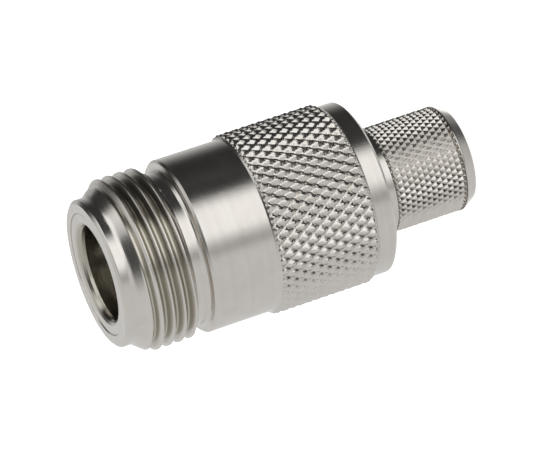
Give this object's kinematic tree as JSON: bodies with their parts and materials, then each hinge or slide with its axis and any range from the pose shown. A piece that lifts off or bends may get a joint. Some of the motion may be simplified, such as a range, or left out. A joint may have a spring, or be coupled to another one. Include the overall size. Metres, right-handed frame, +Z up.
{
  "type": "n type connector",
  "caption": "Turned metal coaxial adapter: threaded jack with a socket contact at one end, knurled coupling nut round a pin contact at the other.",
  "frame": {"origin": "centre of the coupling nut's end face, which the adapter stands on", "axes": "+Z up the axis towards the jack's mouth; X and Y lie across it"},
  "size_m": [0.0166, 0.0166, 0.035],
  "materials": {
    "nickel": "bright satin nickel plate over turned brass",
    "gold": "thin gold plate",
    "bronze": "bare spring bronze",
    "ptfe": "waxy white",
    "silicone": "matte red seal"
  },
  "bodies": {
    "connector_body": {"jack_body": "nickel", "socket_contact": "gold", "support_bead": "ptfe", "plug_sleeve": "nickel", "plug_dielectric": "ptfe", "plug_pin": "gold", "snap_ring": "bronze"},
    "nut": {"coupling_nut": "nickel", "nut_gasket": "silicone"}
  },
  "joints": [
    {"name": "nut_turn", "type": "hinge", "parent": "connector_body", "child": "nut", "pos_m": [0, 0, 0.006], "axis": [0, 0, 1], "continuous": true}
  ]
}
